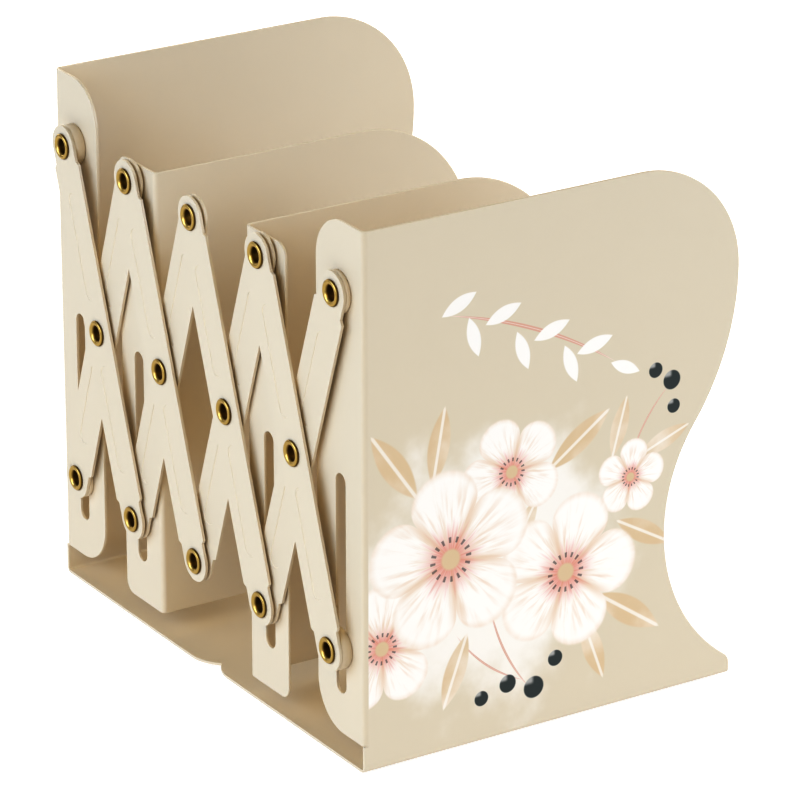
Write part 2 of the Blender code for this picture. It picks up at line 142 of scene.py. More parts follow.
class LinkSizes(bpy.types.PropertyGroup):
    """Sizes of the stamped links."""

    sheet: FloatProperty(name="Sheet", description="Thickness of a link", default=1.0 * MM, unit="LENGTH")
    edge: FloatProperty(
        name="Edge", description="Rounding of the coated edges", default=0.22 * MM, unit="LENGTH"
    )
    width: FloatProperty(name="Width", description="Width of the strip", default=18.4 * MM, unit="LENGTH")
    head: FloatProperty(name="Head", description="Radius of the round heads", default=7.7 * MM, unit="LENGTH")
    neck: FloatProperty(
        name="Neck", description="From the end pivot to the shoulder", default=6.2 * MM, unit="LENGTH"
    )
    shoulder: FloatProperty(
        name="Shoulder", description="Length over which the strip widens", default=1.2 * MM, unit="LENGTH"
    )
    bead: FloatProperty(name="Bead", description="Width of a pressed bead", default=6.6 * MM, unit="LENGTH")
    bead_depth: FloatProperty(
        name="Bead depth", description="How deep the beads are pressed", default=0.2 * MM, unit="LENGTH"
    )
    bead_flank: FloatProperty(
        name="Bead flank", description="Width of a bead's sloping flank", default=0.35 * MM, unit="LENGTH"
    )
    bead_centre: FloatProperty(
        name="Bead to centre", description="From the centre pivot to a bead", default=12 * MM, unit="LENGTH"
    )
    bead_end: FloatProperty(
        name="Bead to end", description="From the end pivot to a bead", default=17 * MM, unit="LENGTH"
    )


class EyeletSizes(bpy.types.PropertyGroup):
    """Sizes of the rolled eyelets."""

    bore: FloatProperty(
        name="Bore", description="Inner radius of the barrel", default=2.6 * MM, unit="LENGTH"
    )
    barrel: FloatProperty(
        name="Barrel", description="Outer radius of the barrel", default=2.9 * MM, unit="LENGTH"
    )
    rim: FloatProperty(
        name="Rim", description="Outer radius of the rolled rim", default=4.8 * MM, unit="LENGTH"
    )
    crest: FloatProperty(
        name="Crest", description="Radius of the rim's crest", default=3.9 * MM, unit="LENGTH"
    )
    height: FloatProperty(
        name="Height", description="Height of the rolled rim", default=0.9 * MM, unit="LENGTH"
    )
    funnel: FloatProperty(
        name="Funnel", description="Depth of the mouth", default=1.7 * MM, unit="LENGTH"
    )
    clinch: FloatProperty(
        name="Clinch", description="Height of the rear rim", default=0.6 * MM, unit="LENGTH"
    )
    clinch_reach: FloatProperty(
        name="Clinch reach", description="How far the rear rim stands out from the barrel",
        default=1.4 * MM, unit="LENGTH",
    )


class RackColours(bpy.types.PropertyGroup):
    """Colours of the finishes."""

    coat: FloatVectorProperty(
        name="Coat", description="Cream powder coat", subtype="COLOR", default=hex_colour("DBCCB3")
    )
    brass: FloatVectorProperty(
        name="Brass", description="Polished eyelet brass", subtype="COLOR", default=hex_colour("C6AA68")
    )
    # Colour of the painted shade at the eyelets' lip, mouth and barrel, for the shadow under the rim and in
    # the bore
    tarnish: FloatVectorProperty(
        name="Tarnish", description="Darkened brass at the lip", subtype="COLOR", default=hex_colour("6A5222")
    )
    petal: FloatVectorProperty(
        name="Petal", description="White ink of the blossoms", subtype="COLOR", default=hex_colour("F1E8DC")
    )
    shade: FloatVectorProperty(
        name="Shade", description="Tan ink between the petals", subtype="COLOR", default=hex_colour("E2C8AC")
    )
    heart: FloatVectorProperty(
        name="Heart", description="Salmon ink of the hearts", subtype="COLOR", default=hex_colour("DB917C")
    )
    leaf: FloatVectorProperty(
        name="Leaf", description="Golden tan ink of the leaves", subtype="COLOR", default=hex_colour("DAC19D")
    )
    twig: FloatVectorProperty(
        name="Twig", description="Terracotta ink of the twigs", subtype="COLOR", default=hex_colour("DAAD96")
    )
    berry: FloatVectorProperty(
        name="Berry", description="Charcoal ink of the berries", subtype="COLOR", default=hex_colour("3C423E")
    )
    nylon: FloatVectorProperty(
        name="Nylon", description="Washers and spacers", subtype="COLOR", default=hex_colour("DCCBB0")
    )
    rubber: FloatVectorProperty(
        name="Rubber", description="Feet under the near base", subtype="COLOR", default=hex_colour("A9A8A4")
    )
    floor: FloatVectorProperty(
        name="Floor", description="Opal sheet of the light table",
        subtype="COLOR", default=hex_colour("959595"),
    )


class StudioSettings(bpy.types.PropertyGroup):
    """Camera and lights."""

    lens: FloatProperty(
        name="Lens", description="Focal length in millimetres", default=223.46, unit="CAMERA"
    )
    azimuth: FloatProperty(
        name="Azimuth", description="Turn of the camera to the right",
        default=math.radians(57.474), subtype="ANGLE",
    )
    elevation: FloatProperty(
        name="Elevation", description="Angle above the floor", default=math.radians(21.71), subtype="ANGLE"
    )
    distance: FloatProperty(name="Distance", description="Camera to the rack", default=1.8, unit="LENGTH")
    aim: FloatVectorProperty(
        name="Aim", description="The point in the middle of the picture", subtype="XYZ",
        default=(0.006111, 0.00375, 0.090473),
    )
    front: FloatProperty(name="Front", description="Power of the front light", default=44.0, unit="POWER")
    side: FloatProperty(
        name="Side", description="Power of the light on the near plate", default=35.5, unit="POWER"
    )
    soft: FloatProperty(
        name="Soft", description="Power of the light above the camera", default=13.0, unit="POWER"
    )
    fill: FloatProperty(
        name="Fill", description="Power of the light on the far side", default=22.5, unit="POWER"
    )
    back: FloatProperty(
        name="Back", description="Power of the light above the back", default=11.0, unit="POWER"
    )
    rear: FloatProperty(name="Rear", description="Power of the low light behind", default=14.0, unit="POWER")
    cool: FloatVectorProperty(
        name="Cool", description="Colour of the front and side lights", subtype="COLOR",
        default=(0.60, 0.745, 1.0),
    )
    warm: FloatVectorProperty(
        name="Warm", description="Colour of the lights into the bays", subtype="COLOR",
        default=(1.0, 0.82, 0.42),
    )
    pale: FloatVectorProperty(
        name="Pale", description="Colour of the lights on the far side and behind", subtype="COLOR",
        default=(1.0, 0.97, 0.9),
    )
    room: FloatProperty(name="Room", description="Brightness of the room as a light", default=0.02)
    backdrop: FloatProperty(name="Backdrop", description="Brightness of the room to the camera", default=1.2)
    mirrored: FloatProperty(
        name="Mirrored", description="Brightness of the room in reflections", default=0.45
    )
    exposure: FloatProperty(name="Exposure", description="Exposure of the picture in stops", default=-0.1)
    gamma: FloatProperty(
        name="Gamma", description="Below 1 it deepens the picture's darker tones", default=0.6
    )
    table: FloatProperty(name="Table", description="Glow of the light table under the rack", default=0.84)
    table_size: FloatProperty(
        name="Table size", description="Radius of the table", default=0.9, unit="LENGTH"
    )


# Modelling


def make_active(obj):
    bpy.ops.object.select_all(action="DESELECT")
    obj.select_set(True)
    bpy.context.view_layer.objects.active = obj


def settle(name):
    """Names the primitive just added and puts its place into its mesh."""
    obj = bpy.context.object
    obj.name = name
    obj.data.name = name
    bpy.ops.object.transform_apply(location=True, rotation=True, scale=True)
    return obj


def edit(obj):
    make_active(obj)
    bpy.ops.object.mode_set(mode="EDIT")


def leave_edit():
    bpy.ops.object.mode_set(mode="OBJECT")


def pick(obj, kind, test):
    """Selects the vertices, edges or faces whose corners all lie where the test says."""
    bpy.ops.mesh.select_mode(type=kind)
    bpy.ops.mesh.select_all(action="DESELECT")
    shape = bmesh.from_edit_mesh(obj.data)
    for element in {"VERT": shape.verts, "EDGE": shape.edges, "FACE": shape.faces}[kind]:
        corners = [element] if kind == "VERT" else element.verts
        if all(test(corner.co) for corner in corners):
            element.select_set(True)
    shape.select_flush_mode()
    bmesh.update_edit_mesh(obj.data)


def near(value, target):
    return abs(value - target) < TINY


def draw_out(x=0.0, y=0.0, z=0.0):
    """Extrudes what is selected."""
    bpy.ops.mesh.extrude_region_move(TRANSFORM_OT_translate={"value": (x, y, z)})


def arc_steps(radius, angle):
    """How many chords an arc needs to stay within the tolerance."""
    step = 2 * math.acos(1 - ARC_TOLERANCE / radius)
    return max(EDGE_STEPS, math.ceil(abs(angle) / step))


def sweep(angle, centre, axis, radius):
    """Turns what is selected about the axis, right-handed, drawing an arc.

    The operator turns the other way.
    """
    bpy.ops.mesh.spin(steps=arc_steps(radius, angle), angle=-angle, center=centre, axis=axis)


def round_corner(obj, radius, test):
    """Rounds the corner of a flat outline that the test finds."""
    pick(obj, "VERT", test)
    segments = arc_steps(radius, math.pi / 2)
    bpy.ops.mesh.bevel(offset=radius, offset_pct=0, segments=segments, affect="VERTICES")


def fill_outline():
    bpy.ops.mesh.select_all(action="SELECT")
    bpy.ops.mesh.edge_face_add()


def apply_modifier(obj, kind, **settings):
    modifier = obj.modifiers.new(kind.title(), kind)
    for name, value in settings.items():
        setattr(modifier, name, value)
    make_active(obj)
    bpy.ops.object.modifier_apply(modifier=modifier.name)


def cut(obj, cutter, operation="DIFFERENCE"):
    """Cuts the cutter out of the piece, or joins it on, and removes the cutter."""
    apply_modifier(obj, "BOOLEAN", object=cutter, operation=operation, solver="EXACT")
    bpy.data.objects.remove(cutter, do_unlink=True)


def face_outwards(obj, direction):
    """Turns an open sheet so that its largest face looks along the direction."""
    edit(obj)
    bpy.ops.mesh.select_all(action="SELECT")
    bpy.ops.mesh.normals_make_consistent(inside=False)
    largest = max(bmesh.from_edit_mesh(obj.data).faces, key=lambda face: face.calc_area())
    if largest.normal.dot(direction) < 0:
        bpy.ops.mesh.flip_normals()
    leave_edit()


def round_edges(obj, width):
    """Rounds every sharp edge as a thick coat does, and shades flats flat and folds smooth."""
    apply_modifier(
        obj, "BEVEL", width=width, segments=EDGE_STEPS, limit_method="ANGLE", angle_limit=SHARP_SHEET
    )
    make_active(obj)
    bpy.ops.object.shade_smooth()
    apply_modifier(obj, "WEIGHTED_NORMAL", mode="FACE_AREA")


def slot_cutter(low, high, radius, depth, taper=0.0):
    """A round-ended bar along Z from one centre to another, lying through Y.

    Its +Y end is smaller by the taper.
    """
    bpy.ops.object.select_all(action="DESELECT")
    bpy.ops.mesh.primitive_cylinder_add(
        vertices=ROUND_STEPS, radius=radius, depth=depth, location=low, rotation=(math.pi / 2, 0, 0)
    )
    cutter = settle("cutter")
    edit(cutter)
    if taper:
        pick(cutter, "VERT", lambda p: p.y > low.y)
        scale = (radius - taper) / radius
        bpy.ops.transform.resize(value=(scale, 1, scale), center_override=low)
    if high.z - low.z > TINY:
        pick(cutter, "VERT", lambda p: p.z > low.z + TINY)
        bpy.ops.transform.translate(value=high - low)
    leave_edit()
    return cutter


def turned(name, profile):
    """A round piece about the Y axis from its closed profile of (radius, y) points."""
    radius, depth = profile[0]
    bpy.ops.object.select_all(action="DESELECT")
    bpy.ops.mesh.primitive_circle_add(
        vertices=ROUND_STEPS, radius=radius, location=(0, depth, 0), rotation=(math.pi / 2, 0, 0)
    )
    obj = settle(name)
    edit(obj)
    bpy.ops.mesh.select_all(action="SELECT")
    for next_radius, next_depth in profile[1:] + profile[:1]:
        draw_out(y=next_depth - depth)
        scale = next_radius / radius
        bpy.ops.transform.resize(value=(scale, 1, scale), center_override=(0, next_depth, 0))
        radius, depth = next_radius, next_depth
    bpy.ops.mesh.select_all(action="SELECT")
    bpy.ops.mesh.remove_doubles(threshold=TINY)
    bpy.ops.mesh.normals_make_consistent(inside=False)
    leave_edit()
    make_active(obj)
    bpy.ops.object.shade_smooth_by_angle(angle=SHARP_TURNED)
    return obj


def quarter(centre, size, start, end, steps=8):
    """Points on an arc of an ellipse, for a profile. Angles in degrees run from +radius towards +y."""
    angles = [math.radians(start + (end - start) * i / steps) for i in range(steps + 1)]
    return [(centre[0] + size[0] * math.cos(a), centre[1] + size[1] * math.sin(a)) for a in angles]


def copy_to(original, name, matrix):
    """A copy with its own mesh, moved in its mesh."""
    copy = original.copy()
    copy.data = original.data.copy()
    copy.name = name
    copy.data.name = name
    copy.data.transform(matrix)
    bpy.context.scene.collection.objects.link(copy)
    return copy


def middle(node):
    low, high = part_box(node)
    return (low + high) / 2


def body_of(node):
    return next(body for body, nodes in frame["record"]["behaviour"]["bodies"].items() if node in nodes)


def hand_over(piece, node, material):
    """The piece stands for the node: it gets its finish and moves with the node's body."""
    piece.data.materials.clear()
    piece.data.materials.append(material)
    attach(piece, body_of(node))
    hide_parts(node)


# Folded plates


def open_fold(name, x, fold, low, high):
    """The fold's edge, from low to high, as a plane of which the back is deleted."""
    size = high - low
    bpy.ops.object.select_all(action="DESELECT")
    bpy.ops.mesh.primitive_plane_add(
        size=size, location=(x, fold + size / 2, (low + high) / 2), rotation=(0, math.pi / 2, 0)
    )
    plate = settle(name)
    edit(plate)
    pick(plate, "VERT", lambda p: p.y > fold + TINY)
    bpy.ops.mesh.delete(type="VERT")
    return plate


def fold_flange(plate, sizes, side, x, front, reach):
    """Folds the flange off the fold's edge."""
    fold = front + sizes.fold
    pick(plate, "EDGE", lambda p: near(p.y, fold))
    sweep(side * math.pi / 2, (x + side * sizes.fold, fold, 0), (0, 0, 1), sizes.fold)
    draw_out(x=reach - x - side * sizes.fold)


def punch(plate, sizes, pivot, front):
    """The pivot hole and the slot below it."""
    hole = Vector((pivot.x, front, pivot.z))
    cut(plate, slot_cutter(hole, hole, sizes.hole, PUNCH_DEPTH * sizes.sheet))
    low = Vector((pivot.x, front, sizes.slot_foot + sizes.hole))
    high = Vector((pivot.x, front, sizes.slot_top - sizes.hole))
    cut(plate, slot_cutter(low, high, sizes.hole, PUNCH_DEPTH * sizes.sheet))


def finish_plate(plate, sizes, side, pivot, front):
    leave_edit()
    face_outwards(plate, Vector((-side, 0, 0)))
    apply_modifier(plate, "SOLIDIFY", thickness=sizes.sheet, offset=-1, use_even_offset=True)
    punch(plate, sizes, pivot, front)
    round_edges(plate, sizes.edge)


def end_plate(name, node, side, pivot):
    """An end plate: panel with an S-shaped free edge, front flange and base."""
    sizes = bpy.context.scene.rack_plates
    low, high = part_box(node)
    x, reach = (low.x, high.x) if side > 0 else (high.x, low.x)
    front, back, foot, top = low.y, high.y, low.z, high.z
    fold = front + sizes.fold
    plate = open_fold(name, x, fold, sizes.flange_foot, top)

    shoulder = top - sizes.top_corner
    drop = shoulder - (foot + sizes.toe_height)
    root = (drop + 2 * sizes.waist * (sizes.bulge - sizes.toe) / drop) / 2
    waist_radius = (root**2 + sizes.waist**2) / (2 * sizes.waist) - sizes.bulge
    lean = math.acos(1 - sizes.waist / (sizes.bulge + waist_radius))
    kick = math.acos(1 - sizes.waist / (waist_radius + sizes.toe))
    waist_height = shoulder - (sizes.bulge + waist_radius) * math.sin(lean)
    along = (1, 0, 0)
    pick(plate, "VERT", lambda p: near(p.z, top))
    draw_out(y=back - sizes.top_corner - fold)
    sweep(-math.pi / 2, (x, back - sizes.top_corner, shoulder), along, sizes.top_corner)
    sweep(-lean, (x, back - sizes.bulge, shoulder), along, sizes.bulge)
    sweep(lean + kick, (x, back - sizes.waist + waist_radius, waist_height), along, waist_radius)
    sweep(-kick, (x, back - sizes.toe, foot + sizes.toe_height), along, sizes.toe)
    draw_out(z=sizes.fold - sizes.toe_height)
    draw_out(y=front - back)
    draw_out(z=sizes.flange_foot - foot - sizes.fold)
    fill_outline()

    fold_flange(plate, sizes, side, x, front, x + side * sizes.flange)
    free = x + side * sizes.flange
    for height in (sizes.flange_foot, top):
        round_corner(plate, sizes.flange_corner, lambda p: near(p.x, free) and near(p.z, height))

    pick(plate, "EDGE", lambda p: near(p.z, foot + sizes.fold))
    sweep(-side * math.pi / 2, (x + side * sizes.fold, 0, foot + sizes.fold), (0, 1, 0), sizes.fold)
    draw_out(x=reach - x - side * sizes.fold)
    for place in (front, back):
        round_corner(plate, sizes.base_corner, lambda p: near(p.x, reach) and near(p.y, place))
    finish_plate(plate, sizes, side, pivot, front)
    return plate


def divider(name, node, side, pivot):
    """A divider: panel with a round top corner and a front flange."""
    sizes = bpy.context.scene.rack_plates
    low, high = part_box(node)
    x, reach = (low.x, high.x) if side > 0 else (high.x, low.x)
    front, back, foot, top = low.y, high.y, low.z, high.z
    fold = front + sizes.fold
    plate = open_fold(name, x, fold, foot, top)
    along = (1, 0, 0)
    radius, small = sizes.divider_corner, sizes.divider_foot_corner
    pick(plate, "VERT", lambda p: near(p.z, top))
    draw_out(y=back - radius - fold)
    sweep(-math.pi / 2, (x, back - radius, top - radius), along, radius)
    draw_out(z=foot + small + radius - top)
    sweep(-math.pi / 2, (x, back - small, foot + small), along, small)
    fill_outline()

    fold_flange(plate, sizes, side, x, front, reach)
    for height in (foot, top):
        round_corner(plate, sizes.divider_flange_corner, lambda p: near(p.x, reach) and near(p.z, height))
    finish_plate(plate, sizes, side, pivot, front)
    return plate


# Lattice


def link_blank(sizes, length):
    """One link about its centre, upright and still flat, with its front face at Y = 0."""
    half = length / 2
    neck = half - sizes.neck
    strip = neck - sizes.shoulder
    bpy.ops.object.select_all(action="DESELECT")
    bpy.ops.mesh.primitive_plane_add(size=sizes.width, rotation=(math.pi / 2, 0, 0))
    link = settle("link")
    edit(link)
    for end in (1, -1):
        pick(link, "EDGE", lambda p: near(p.z, end * sizes.width / 2))
        bpy.ops.transform.translate(value=(0, 0, end * (strip - sizes.width / 2)))
        draw_out(z=end * sizes.shoulder)
        scale = 2 * sizes.head / sizes.width
        bpy.ops.transform.resize(value=(scale, 1, 1), center_override=(0, 0, end * neck))
        draw_out(z=end * sizes.neck)
        pick(link, "VERT", lambda p: near(p.z, end * half) and p.x > 0)
        sweep(-end * math.pi, (0, 0, end * half), (0, 1, 0), sizes.head)
        bpy.ops.mesh.select_all(action="SELECT")
        bpy.ops.mesh.remove_doubles(threshold=TINY)
        pick(link, "VERT", lambda p: end * p.z > half - TINY)
        bpy.ops.mesh.edge_face_add()
    leave_edit()
    face_outwards(link, Vector((0, -1, 0)))
    apply_modifier(link, "SOLIDIFY", thickness=sizes.sheet, offset=-1)
    hole = bpy.context.scene.rack_plates.hole
    for height in (-half, 0, half):
        centre = Vector((0, 0, height))
        cut(link, slot_cutter(centre, centre, hole, PUNCH_DEPTH * sizes.sheet))
    return link


def press_beads(link, sizes, length):
    """Each bead is sunk in the front and stands out at the back, with sloping flanks."""
    radius, depth = sizes.bead / 2, 2 * sizes.bead_depth
    first, last = sizes.bead_centre + radius, length / 2 - sizes.bead_end - radius
    for end in (1, -1):
        low, high = sorted((end * first, end * last))
        for y, operation in ((sizes.sheet, "UNION"), (0, "DIFFERENCE")):
            bead = slot_cutter(Vector((0, y, low)), Vector((0, y, high)), radius, depth, sizes.bead_flank)
            cut(link, bead, operation)


def link_model(length):
    sizes = bpy.context.scene.rack_links
    link = link_blank(sizes, length)
    press_beads(link, sizes, length)
    round_edges(link, sizes.edge)
    return link


# Painted shade at an eyelet's lip and mouth, for the shadow under the rim and the dark bore: how wide it is,
# and over what width it comes in
LIP_DARK, LIP_FADE = 0.35 * MM, 0.3 * MM
MOUTH_DARK, MOUTH_FADE = 0.55 * MM, 0.5 * MM
SHANK_FADE = 0.1 * MM  # the barrel behind the rim gets painted shade all over

# Small forms of the eyelets, washers and feet
LIP_WIDTH, LIP_HEIGHT = 0.2 * MM, 0.15 * MM  # where the rim's edge turns in
CURL = 0.4 * MM  # radius of the rear rim's edge
REAR_MOUTH = 0.3 * MM  # how much wider the rear mouth is than the bore
RING_EDGE = 0.2 * MM  # softening of a washer's edges
RING_EDGE_SHARE = 1 / 4  # at most this part of its thickness
FOOT_EDGE_SHARE = 1 / 3  # rounding of a foot's edges, as a part of its height


def paint_eyelet_shade(eyelet, front):
    """Writes how much painted shade each point gets: none on the rim's crest, full at the lip, in the mouth
    and down the barrel, for the shadow under the rim and in the bore.
    """
    sizes = bpy.context.scene.rack_eyelets
    tarnish = eyelet.data.attributes.new("tarnish", "FLOAT", "POINT")
    for point, vertex in zip(tarnish.data, eyelet.data.vertices):
        radius = math.hypot(vertex.co.x, vertex.co.z)
        lip = (radius - sizes.rim + LIP_DARK) / LIP_FADE
        mouth = (sizes.bore + MOUTH_DARK - radius) / MOUTH_FADE
        shank = (vertex.co.y - front - sizes.height + SHANK_FADE) / SHANK_FADE
        point.value = min(1.0, max(0.0, lip, mouth, shank))


def eyelet_model(low, high):
    """A hollow eyelet: rolled rim at the front, barrel, and clinched rim at the back."""
    sizes = bpy.context.scene.rack_eyelets
    front, back = low.y, high.y
    mouth = front + sizes.funnel
    under = front + sizes.height
    flare = sizes.crest - sizes.bore
    roll = sizes.rim - sizes.crest
    tail = back - sizes.clinch
    tail_rim = sizes.barrel + sizes.clinch_reach
    profile = quarter((sizes.crest, mouth), (flare, mouth - front), 180, 270)
    profile += quarter((sizes.crest, under - LIP_HEIGHT), (roll, sizes.height - LIP_HEIGHT), 270, 360)[1:]
    profile += [(sizes.rim - LIP_WIDTH, under), (sizes.barrel, under), (sizes.barrel, tail), (tail_rim, tail)]
    profile += quarter((tail_rim - CURL, back - CURL), (CURL, CURL), 0, 90, 4)
    profile += [(sizes.bore + REAR_MOUTH, back), (sizes.bore, back - CURL)]
    eyelet = turned("eyelet", profile)
    paint_eyelet_shade(eyelet, front)
    return eyelet


def ring_model(low, high):
    """A washer or spacer with softened edges."""
    bore = bpy.context.scene.rack_plates.hole
    front, back, radius = low.y, high.y, (high.x - low.x) / 2
    soft = min(RING_EDGE, RING_EDGE_SHARE * (back - front))
    profile = [(bore, front + soft), (bore + soft, front), (radius - soft, front), (radius, front + soft)]
    profile += [(radius, back - soft), (radius - soft, back), (bore + soft, back), (bore, back - soft)]
    return turned("ring", profile)


def build_round(kind_names, make_model, material, prefix):
    """Models each kind of round piece once and copies it to every node that is like it.

    The model is made from the low and the high corner of a node's box.
    """
    models = {}
    for node in sorted(name for name in frame["nodes"] if name.startswith(kind_names)):
        low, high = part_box(node)
        kind = tuple(round(size / TINY) for size in (low.y, high.y, high.x - low.x))
        if kind not in models:
            models[kind] = make_model(low, high)
        centre = middle(node)
        place = Matrix.Translation((centre.x, 0, centre.z))
        hand_over(copy_to(models[kind], prefix + node, place), node, material)
    for model in models.values():
        bpy.data.objects.remove(model, do_unlink=True)


# Materials

SMOOTH = {"interpolation_type": "SMOOTHSTEP"}
COLOURS = {"data_type": "RGBA"}
WHITE = (1.0, 1.0, 1.0, 1.0)


def add_node(tree, kind, inputs=(), **settings):
    """Adds one shader node with its settings and links.

    Its inputs go by name or in order, and each is a value, a socket or the node that feeds it.
    """
    node = tree.nodes.new("ShaderNode" + kind)
    for name, value in settings.items():
        setattr(node, name, value)
    for name, value in inputs.items() if isinstance(inputs, dict) else enumerate(inputs):
        if isinstance(value, bpy.types.Node):
            value = next(socket for socket in value.outputs if socket.enabled)
        if isinstance(value, bpy.types.NodeSocket):
            tree.links.new(value, node.inputs[name])
        else:
            node.inputs[name].default_value = value
    return node


def new_finish(name):
    """An empty material, its tree and the socket of the object's own coordinates."""
    material = bpy.data.materials.new(name)
    material.use_nodes = True
    tree = material.node_tree
    tree.nodes.clear()
    return material, tree, add_node(tree, "TexCoord").outputs["Object"]


def opaque(colour):
    return (*colour, 1.0)


def powder_coat(name, colour, face=None):
    """Polyester powder coat on steel, sprayed and baked.

    To the eye it is an even satin cream with soft highlights on the folds and edges, and no sparkle. With a
    face, which is where a plate's outer side lies along X, that side carries the print.
    """
    cloud_size = 14 * MM  # the film is thicker in one place than in another
    thin_film = 0.985  # how much light is left where it is thin
    peel_size = 0.45 * MM  # the waves of the baked film
    peel_depth = 0.03 * MM
    material, tree, place = new_finish(name)
    cloud = add_node(tree, "TexNoise", {"Vector": place, "Scale": 1 / cloud_size, "Detail": 3.0})
    darker = opaque([c * thin_film for c in colour])
    surface = add_node(tree, "Mix", {"Factor": cloud, "A": darker, "B": opaque(colour)}, **COLOURS)
    if face is not None:
        surface = print_blossoms(tree, place, surface, face)
    peel = add_node(tree, "TexNoise", {"Vector": place, "Scale": 1 / peel_size, "Detail": 2.0})
    bump = add_node(tree, "Bump", {"Height": peel, "Strength": 0.10, "Distance": peel_depth})
    shader = add_node(
        tree, "BsdfPrincipled", {"Base Color": surface, "Roughness": 0.46, "IOR": 1.5, "Normal": bump}
    )
    add_node(tree, "OutputMaterial", {"Surface": shader})
    return material


def rolled_brass(name, colour, dark):
    """Yellow brass, drawn, rolled over by the setting tool and barrel polished.

    To the eye it is a bright gold ring between a dark lip and a dark mouth. That darkness is painted shade,
    for the shadow under the rim and in the bore, and the same mask makes the metal there rougher.
    """
    mark_size = 0.8 * MM  # the tool's marks are some 0.1 mm wide, and are drawn this coarse so that they show
    mark_depth = 0.05 * MM
    mark_dull = 0.1  # roughness that the marks add
    polished, rough_in_shade = 0.28, 0.53  # roughness of the metal between them
    material, tree, place = new_finish(name)
    marks = add_node(tree, "TexNoise", {"Vector": place, "Scale": 1 / mark_size, "Detail": 3.0})
    # The painted shade mask darkens the lip, the mouth and the barrel, for the shadow under the rim and in
    # the bore
    tarnish = add_node(tree, "Attribute", attribute_name="tarnish").outputs["Fac"]
    tint = add_node(tree, "Mix", {"Factor": tarnish, "A": opaque(colour), "B": opaque(dark)}, **COLOURS)
    roughness_by_shade = add_node(tree, "Math", (tarnish, rough_in_shade - polished, polished), operation="MULTIPLY_ADD")
    dull = add_node(tree, "Math", (marks, mark_dull, roughness_by_shade), operation="MULTIPLY_ADD")
    bump = add_node(tree, "Bump", {"Height": marks, "Strength": 0.12, "Distance": mark_depth})
    shader = add_node(
        tree, "BsdfPrincipled", {"Base Color": tint, "Metallic": 1.0, "Roughness": dull, "Normal": bump}
    )
    add_node(tree, "OutputMaterial", {"Surface": shader})
    return material


def moulded_plastic(name, colour, roughness, ior, grain):
    """A moulded part of one even colour with a matt grain, as the tool's eroded walls leave it."""
    grain_depth = 0.04 * MM
    grain_shade = 0.94  # how much light is left in the grain's hollows
    material, tree, place = new_finish(name)
    cloud = add_node(tree, "TexNoise", {"Vector": place, "Scale": 1 / grain, "Detail": 2.0})
    darker = opaque([c * grain_shade for c in colour])
    tint = add_node(tree, "Mix", {"Factor": cloud, "A": darker, "B": opaque(colour)}, **COLOURS)
    bump = add_node(tree, "Bump", {"Height": cloud, "Strength": 0.15, "Distance": grain_depth})
    shader = add_node(
        tree, "BsdfPrincipled", {"Base Color": tint, "Roughness": roughness, "IOR": ior, "Normal": bump}
    )
    add_node(tree, "OutputMaterial", {"Surface": shader})
    return material


def opal_acrylic(name, colour, glow, size):
    """Cast opal acrylic lit from below.

    To the eye it is a plain white floor without shadows, a little dimmer in its middle, so that it doesn't
    outshine the rack.
    """
    dim_radius = 0.1  # metres, about the rack's own half length
    bright_radius = 0.7 * size
    material, tree, place = new_finish(name)
    reach = add_node(tree, "VectorMath", (place,), operation="LENGTH")
    level = add_node(tree, "MapRange", (reach, dim_radius, bright_radius, glow, 1.0), **SMOOTH)
    shader = add_node(
        tree, "BsdfPrincipled",
        {"Base Color": opaque(colour), "Roughness": 0.9, "Specular IOR Level": 0.1,
         "Emission Color": WHITE, "Emission Strength": level},
    )
    add_node(tree, "OutputMaterial", {"Surface": shader})
    return material


# Print

# Each motif on the near plate has Y and Z of its middle and its reach in millimetres, and its turn in
# degrees. A twig's fifth value bends it.
BLOSSOMS = ((-67, 47, 25, 20), (36, 88, 15, 10), (-14, 101, 22, 40), (9, 58, 31, 0), (-39, 74, 35, 25))
LEAVES = (
    (-62, 113, 17, 125), (-44, 117, 15, 80), (14, 107, 16, 35), (31, 108, 12, 75), (50, 99, 12, 20),
    (42, 66, 14, -30), (36, 37, 17, -35), (21, 26, 14, -70), (-37, 31, 15, -110), (-9, 79, 12, 60),
)
TWIGS = (
    (-6, 148, 40, -24, -0.10), (-14, 36, 22, -65, 0.14), (-22, 33, 20, -40, 0.16), (44, 106, 17, 58, -0.15),
)
TWIG_LEAVES = (
    (-36, 167, 8, 25), (-30, 154, 8, -75), (-18, 160, 8, 20), (-10, 145, 8, -72), (2, 150, 8, 18),
    (10, 136, 8, -70), (20, 141, 8, 15), (33, 130, 7, -25),
)
BERRIES = (
    (-4, 17, 4.4, 0), (-15, 21, 3.6, 0), (5, 26, 3.2, 0), (-26, 18, 3.0, 0),
    (53, 121, 3.8, 0), (46, 126, 3.0, 0), (54, 111, 2.8, 0),
)
WASH = (-22, 66, 66, 0)  # a thin white ink under all of them
INK_DEPTH = 0.02 * MM  # the print is on what lies nearer than this to the plate's face

# Parts of a blossom or leaf, as parts of its reach
PETALS = 5
PETAL_ROOT = 0.56  # where two petals meet
PETAL_SWELL = 0.42  # how far a petal stands out beyond that
PETAL_CURVE = 0.45  # the smaller, the broader the petals' tips
BRUSH_SCALE = 2.2
HEART_RAGGED = 0.5  # how far the brush carries the heart in
STAMEN_RING, STAMEN_LENGTH = 0.21, 0.03
STAMEN_PAIRS = 8
LEAF_WIDTH = 0.32
SPRIG_WIDTH = 0.36
TWIG_WIDTH = 0.02
MIDRIB, MIDRIB_CORE = 1 / 6, 1 / 14  # as parts of the leaf's width
MIDRIB_STRENGTH = 0.7
LEAF_SOFTNESS = 1 / 6  # of the outline, as a part of the leaf's width

